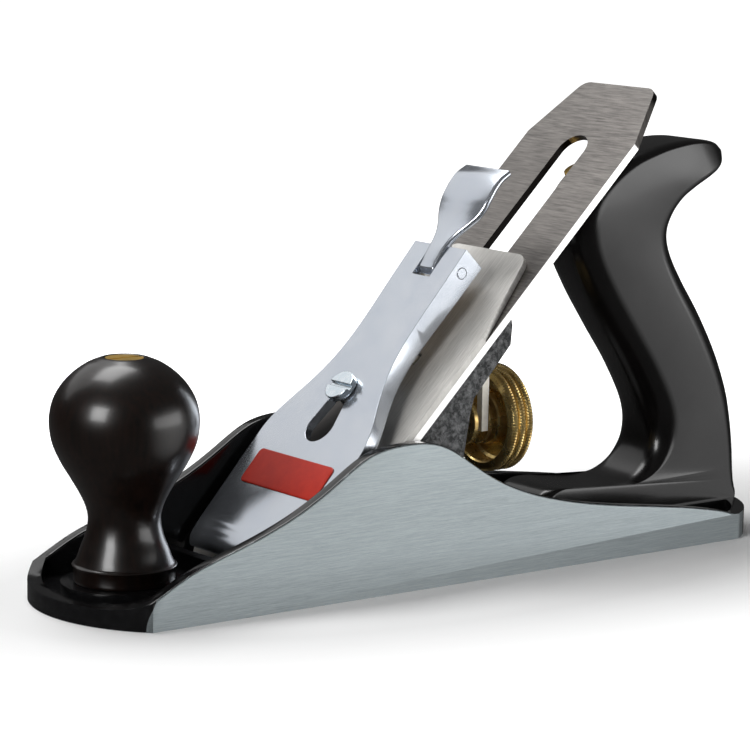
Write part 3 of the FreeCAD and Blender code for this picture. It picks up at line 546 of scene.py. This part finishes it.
handle = {"sections": 150, "around": 56,
          # matching points on the front and back lines, foot to horn tip, as (x, z)
          "front": [(43.0, 8.0), (41.7, 11.0), (42.6, 15.4), (48.0, 18.6), (60.0, 17.6), (72.0, 16.6),
                    (80.0, 17.7), (86.6, 21.8), (90.1, 29.0), (88.6, 38.8), (81.0, 52.2), (72.0, 64.8),
                    (63.2, 78.2), (57.4, 90.4), (57.0, 101.0), (62.8, 109.9), (73.6, 117.2),
                    (85.4, 121.0), (96.0, 122.7), (105.0, 122.9), (112.4, 121.7), (116.0, 119.9)],
          "back": [(122.8, 8.0), (123.7, 9.6), (123.8, 11.4), (123.8, 13.2), (123.8, 15.0),
                   (123.8, 17.0), (123.8, 20.0), (123.7, 25.0), (123.3, 33.0), (121.9, 42.5),
                   (117.4, 54.6), (110.2, 67.4), (102.0, 79.0), (96.6, 87.4), (94.4, 93.8), (95.4, 99.4),
                   (99.0, 104.4), (104.2, 107.9), (109.2, 110.4), (113.4, 112.5), (116.2, 114.6),
                   (117.3, 117.6)],
          # half-thickness and corner radius at the same stations
          "girth": [(12.0, 1.0), (12.0, 2.6), (12.0, 3.8), (12.0, 4.6), (12.0, 5.0), (12.0, 5.4),
                    (12.0, 5.8), (12.0, 6.4), (11.9, 7.6), (11.7, 8.8), (11.6, 9.6), (11.6, 9.8),
                    (11.6, 9.4), (11.6, 8.6), (11.6, 7.4), (11.6, 5.8), (11.5, 4.4), (11.2, 3.4),
                    (10.6, 2.6), (9.6, 2.0), (8.2, 1.6), (6.6, 1.2)]}


def makeHandle():
    # each section is a rounded rectangle strung from the front line to the back line, its thickness
    # across the sole
    front = smoothThrough(handle["front"], handle["sections"])
    back = smoothThrough(handle["back"], handle["sections"])
    girth = smoothThrough(handle["girth"], handle["sections"])
    centre = (front + back) / 2
    reach = back - front
    length = np.linalg.norm(reach, axis=1)
    direction = reach / length[:, None]
    a, b = roundedSection(length[:, None] / 2, girth[:, :1], girth[:, 1:], handle["around"])
    x = centre[:, :1] + direction[:, :1] * a
    z = centre[:, 1:] + direction[:, 1:] * a
    rings = np.stack([x, b, np.maximum(z, low("rear_handle")[2])], axis=-1)
    loftRings("handleMoulding", rings, "casting", ["rear_handle"], "handle", smoothAngle=60)


# radius and place along the stud: inside and bore from the front face, rear from the rear face,
# and rim from the rim's radius and the rear face
wheel = {"teeth": 110, "depth": 0.24, "perTooth": 6, "ridges": 3, "groove": 1.9, "sharpness": 0.55,
         "places": 61, "smoothAngle": 28,
         "inside": [(6.2, 1.0), (7.6, 1.1), (8.0, 1.6), (8.0, 4.8), (8.3, 5.7), (9.2, 6.1), (12.2, 6.0),
                    (13.0, 5.4), (13.2, 0.5), (13.6, 0.0)],
         "rear": [(10.5, -0.9), (9.5, -0.2), (7.4, 0.0), (5.6, 0.0), (5.3, -0.2), (5.08, -0.6)],
         "bore": (5.08, 1.2), "rim": [(-2.4, -0.05), (-3.0, -0.4)]}


def makeWheel():
    # turned brass cup with three knurled ridges: the rim's radius dips between ridges and by tooth
    # round each one
    start, end = low("depth_wheel")[0], high("depth_wheel")[0]
    rim = (high("depth_wheel") - low("depth_wheel"))[2] / 2
    across = np.linspace(0, 1, wheel["places"])
    ridge = np.abs(np.sin(np.pi * across * wheel["ridges"])) ** wheel["sharpness"]
    face = np.stack([rim - wheel["groove"] - 0.15 + wheel["groove"] * ridge,
                     start + 0.3 + (end - start - 0.6) * across], axis=1)
    inside = np.array(wheel["inside"]) + [0, start]
    corner = np.array(wheel["rim"]) + [rim, end]
    rear = np.array(wheel["rear"]) + [0, end]
    bore = np.array([wheel["bore"]]) + [0, start]
    profile = np.vstack([inside, face, corner, rear, bore])
    onRim = np.zeros(len(profile))
    onRim[len(inside):len(inside) + len(face)] = ridge

    def knurl(angle):
        tooth = np.abs(((angle * wheel["teeth"] / (2 * np.pi)) % 1.0) - 0.5) * 2
        return -wheel["depth"] * onRim[:, None] * tooth[None, :]

    centre = middle("depth_wheel")
    rings = turnedRings(profile, wheel["teeth"] * wheel["perTooth"], alongX(centre[1], centre[2]), knurl)
    closed = np.concatenate([rings, rings[:1]])
    loftRings("knurledDepthWheel", closed, "depth_wheel", ["depth_wheel"], "wheelBrass", caps=False,
              smoothAngle=wheel["smoothAngle"])


camLever = {"sections": 110, "around": 28,
            # along the bed, out of the face, half width, half thickness
            "path": [(108.9, 12.4, 3.5, 2.0), (110.8, 13.2, 3.6, 3.3), (113.0, 14.6, 3.65, 2.5),
                     (116.0, 16.0, 3.7, 1.7), (119.0, 16.8, 4.2, 1.2), (122.0, 17.1, 5.4, 1.05),
                     (125.0, 17.4, 7.3, 1.0), (128.0, 17.9, 9.4, 1.0), (131.0, 18.7, 10.7, 1.0),
                     (134.0, 19.6, 11.1, 1.0), (138.0, 20.4, 11.1, 1.0), (141.5, 20.5, 11.0, 1.0),
                     (145.0, 19.6, 10.8, 0.95)],
            # the bow starts at this half width and is full this much further on
            "bowFrom": 6.0, "bowOver": 5.0, "crown": 0.5, "edge": 1.0,
            # the tip's last rings: share of the tip's reach, and drop
            "tip": 1.9, "tipRings": [(0.45, 0.12), (0.8, 0.45), (1.0, 1.0)]}


def makeCamLever():
    # a rounded bar carried along the side path; the broad thumb piece bows up in the middle by the crown
    path = smoothThrough(camLever["path"], camLever["sections"])
    tangent = np.gradient(path[:, :2], axis=0)
    tangent /= np.linalg.norm(tangent, axis=1)[:, None]
    radius = np.minimum(path[:, 3:4], camLever["edge"])
    a, b = roundedSection(path[:, 2:3], path[:, 3:4], radius, camLever["around"])
    broad = np.clip((path[:, 2:3] - camLever["bowFrom"]) / camLever["bowOver"], 0, 1)
    b = b + camLever["crown"] * broad * (0.5 - (a / path[:, 2:3]) ** 2)
    along = path[:, :1] - tangent[:, 1:] * b
    out = path[:, 1:2] + tangent[:, :1] * b
    swell = 1 - (a[-1] / path[-1, 2]) ** 2    # the tip rolls over in a lens: deepest in the middle
    tips = [(along[-1] + push * swell * camLever["tip"], out[-1] - drop * swell)
            for push, drop in camLever["tipRings"]]
    along = np.vstack([along] + [tip[0] for tip in tips])
    out = np.vstack([out] + [tip[1] for tip in tips])
    across = np.vstack([a] + [a[-1]] * len(tips))
    loftRings("camLeverPlate", onBed(along, across, out), "cam_lever", ["cam_lever"], "chrome")


# where the red panel starts and ends, along the bed and out of the face, and its rings: shrink and rise
panel = {"start": (27.8, 10.2), "end": (39.6, 10.97), "half": 18.6, "corner": 1.6, "around": 48,
         "rings": [(0.0, 0.0), (0.0, 0.18), (0.12, 0.27), (0.4, 0.34)]}


def makePanel():
    # a rounded rectangle laid on the cap's sloping face, with a slightly smaller ring on top for a soft rim
    start, end = np.array(panel["start"]), np.array(panel["end"])
    centre, reach = (start + end) / 2, (end - start) / 2
    length = np.linalg.norm(reach)
    slope = reach / length
    rings = []
    for shrink, rise in panel["rings"]:
        corner = panel["corner"] - shrink * 0.5
        a, b = roundedSection(length - shrink, panel["half"] - shrink, corner, panel["around"])
        along = centre[0] + slope[0] * a - slope[1] * rise
        out = centre[1] + slope[1] * a + slope[0] * rise
        rings.append(onBed(along, b, out))
    loftRings("enamelPanel", np.array(rings), "lever_cap", ["lever_cap_badge"], "enamel")


makeKnob()
makeHandle()
makeWheel()
makeCamLever()
makePanel()
print("stage: turned, lofted and laid pieces made")

# finish, material slot, and the round on sharp edges in millimetres
softened = {
    "plane_body": ("casting", "cast_black", 0.35), "frog": ("frog", "frog_grey", 0.5),
    "cutter_iron": ("iron", "steel", 0.15), "cap_iron": ("capIron", "steel", 0.25),
    "lever_cap": ("chrome", "chrome", 0.5), "lever_cap_screw": ("zinc", "zinc", 0.4),
    "cam_lever_pin": ("chrome", "chrome", 0.2), "lever_cap_spring": ("spring", "steel", 0.1),
    "spring_rivet": ("steel", "steel", 0.15), "knob_nut": ("brass", "brass", 0.25),
    "handle_nut": ("brass", "brass", 0.25), "knob_bolt": ("steel", "steel", 0.3),
    "handle_bolt": ("steel", "steel", 0.3), "frog_screw_1": ("zinc", "zinc", 0.25),
    "frog_screw_2": ("zinc", "zinc", 0.25), "frog_washer_1": ("zinc", "zinc", 0.1),
    "frog_washer_2": ("zinc", "zinc", 0.1), "frog_adjusting_screw": ("zinc", "zinc", 0.25),
    "frog_clip": ("steel", "steel", 0.15), "frog_clip_screw": ("zinc", "zinc", 0.25),
    "depth_stud": ("steel", "steel", 0.4), "depth_collar": ("wheelBrass", "brass", 0.25),
    "depth_yoke": ("yoke", "steel", 0.9), "yoke_pin": ("steel", "steel", 0.2),
    "lateral_lever": ("steel", "steel", 0.2), "lateral_lever_pivot": ("steel", "steel", 0.2),
    "lateral_roller": ("steel", "steel", 0.2), "roller_rivet": ("steel", "steel", 0.1),
    "cap_iron_screw": ("zinc", "zinc", 0.3)}
for node, (finish, slot, softEdge) in softened.items():
    softenedCopy(node, finish, softEdge)
print("stage: hard pieces softened")

# metres; squeeze shortens distance along the plane, so that the shade is as long as the plane
paper = {"size": 3.0, "squeeze": 0.5, "shadeRadius": 0.07, "whiteRadius": 0.22, "tone": "#f4f4f4"}


def makeStage():
    size = paper["size"]
    mesh = bpy.data.meshes.new("floor")
    corners = [(-size, -size, 0), (size, -size, 0), (size, size, 0), (-size, size, 0)]
    mesh.from_pydata(corners, [], [(0, 1, 2, 3)])
    floor = bpy.data.objects.new("floor", mesh)
    bpy.context.scene.collection.objects.link(floor)
    # white paper that takes the plane's soft shadow and glows out to pure white away from it
    material, tree, shader, place = startMaterial("whitePaperSweep")
    longer = addNode(tree, "ShaderNodeMapping", {"Vector": place, "Scale": [paper["squeeze"], 1, 1]})
    distance = addNode(tree, "ShaderNodeVectorMath", {"Vector": longer}, operation="LENGTH")
    glow = addNode(tree, "ShaderNodeMapRange", {
        "Value": distance, "From Min": paper["shadeRadius"], "From Max": paper["whiteRadius"]})
    fill(shader, {"Base Color": srgb(paper["tone"]), "Roughness": 0.95, "Specular IOR Level": 0.1,
                  "Emission Color": srgb("#ffffff"), "Emission Strength": glow})
    floor.data.materials.append(material)
    floor.visible_glossy = False      # as with black cards round the table, the gloss stays black


# one line per light: place, aim, width, height (metres) and power in watts
lights = {"overhead": ((-0.05, 0.40, 1.05), (0.0, 0.0, 0.0), 0.7, 0.5, 7.5),
          "window": ((-1.05, -0.28, 0.50), (-0.1, 0.0, 0.05), 0.46, 0.50, 8.0),
          "backPanel": ((-0.20, 1.0, 0.85), (0.0, 0.0, 0.06), 1.1, 0.8, 2.3),
          "sidePanel": ((0.78, -1.05, 0.20), (0.0, 0.0, 0.04), 1.3, 0.4, 5.0)}

sky = {"below": 0.08, "horizon": 0.035, "above": 0.11, "side": 1.1, "toSide": (0.70, -0.69, -0.19)}


def makeLights():
    # the camera sees plain white behind the plane; gloss and shade see a dim room, lighter overhead
    world = bpy.data.worlds.new("studio")
    bpy.context.scene.world = world
    world.use_nodes = True
    tree = world.node_tree
    place = addNode(tree, "ShaderNodeTexCoord").outputs["Generated"]
    axes = addNode(tree, "ShaderNodeSeparateXYZ", {"Vector": place})
    upper = addNode(tree, "ShaderNodeMapRange", {"Value": axes.outputs["Z"], "From Max": 0.9,
                                                 "To Min": sky["horizon"], "To Max": sky["above"]})
    lower = addNode(tree, "ShaderNodeMapRange", {"Value": axes.outputs["Z"], "From Min": -0.5,
                                                 "From Max": 0.0,
                                                 "To Min": sky["below"] - sky["horizon"], "To Max": 0.0})
    room = addNode(tree, "ShaderNodeMath", {0: upper, 1: lower}, operation="ADD")
    # the white table beyond the heel lights the faces that look sideways
    sideways = addNode(tree, "ShaderNodeVectorMath", {0: place, 1: sky["toSide"]}, operation="DOT_PRODUCT")
    table = addNode(tree, "ShaderNodeMapRange", {"Value": sideways, "From Min": 0.80, "To Max": sky["side"]})
    both = addNode(tree, "ShaderNodeMath", {0: room, 1: table}, operation="ADD")
    path = addNode(tree, "ShaderNodeLightPath")
    seen = addNode(tree, "ShaderNodeMath", {0: path.outputs["Is Camera Ray"], 1: both}, operation="MAXIMUM")
    fill(tree.nodes["Background"], {"Color": srgb("#ffffff"), "Strength": seen})
    for name, (spot, aim, width, height, power) in lights.items():
        data = bpy.data.lights.new(name, "AREA")
        data.shape = "RECTANGLE"
        data.size = width
        data.size_y = height
        data.energy = power
        lamp = bpy.data.objects.new(name, data)
        lamp.location = spot
        lamp.rotation_euler = (Vector(aim) - Vector(spot)).to_track_quat("-Z", "Y").to_euler()
        bpy.context.scene.collection.objects.link(lamp)
    bpy.context.scene.view_settings.view_transform = "Standard"      # hex colours show as they are given


# studio camera: degrees round from the sole's side and up, roll, millimetres to the target, target, lens
view = {"round": 36.542, "up": 9.647, "roll": 0.774, "away": 933.57, "target": (-12.57, 0.0, 57.82),
        "lens": 151.91}


def makeCamera():
    turn, rise, roll = (math.radians(view[key]) for key in ("round", "up", "roll"))
    ahead = Vector((math.sin(turn) * math.cos(rise), math.cos(turn) * math.cos(rise), -math.sin(rise)))
    right = Vector((math.cos(turn), -math.sin(turn), 0))
    above = right.cross(ahead)
    rolledRight = right * math.cos(roll) + above * math.sin(roll)
    rolledAbove = above * math.cos(roll) - right * math.sin(roll)
    camera = bpy.data.objects.new("camera", bpy.data.cameras.new("camera"))
    camera.matrix_world = Matrix((rolledRight, rolledAbove, -ahead)).transposed().to_4x4()
    camera.location = (Vector(view["target"]) - ahead * view["away"]) * mm
    camera.data.lens = view["lens"]
    camera.data.sensor_width = 36
    camera.data.clip_start = 0.01
    bpy.context.scene.collection.objects.link(camera)
    bpy.context.scene.camera = camera


makeStage()
makeLights()
makeCamera()
print("stage: floor, light and camera set")
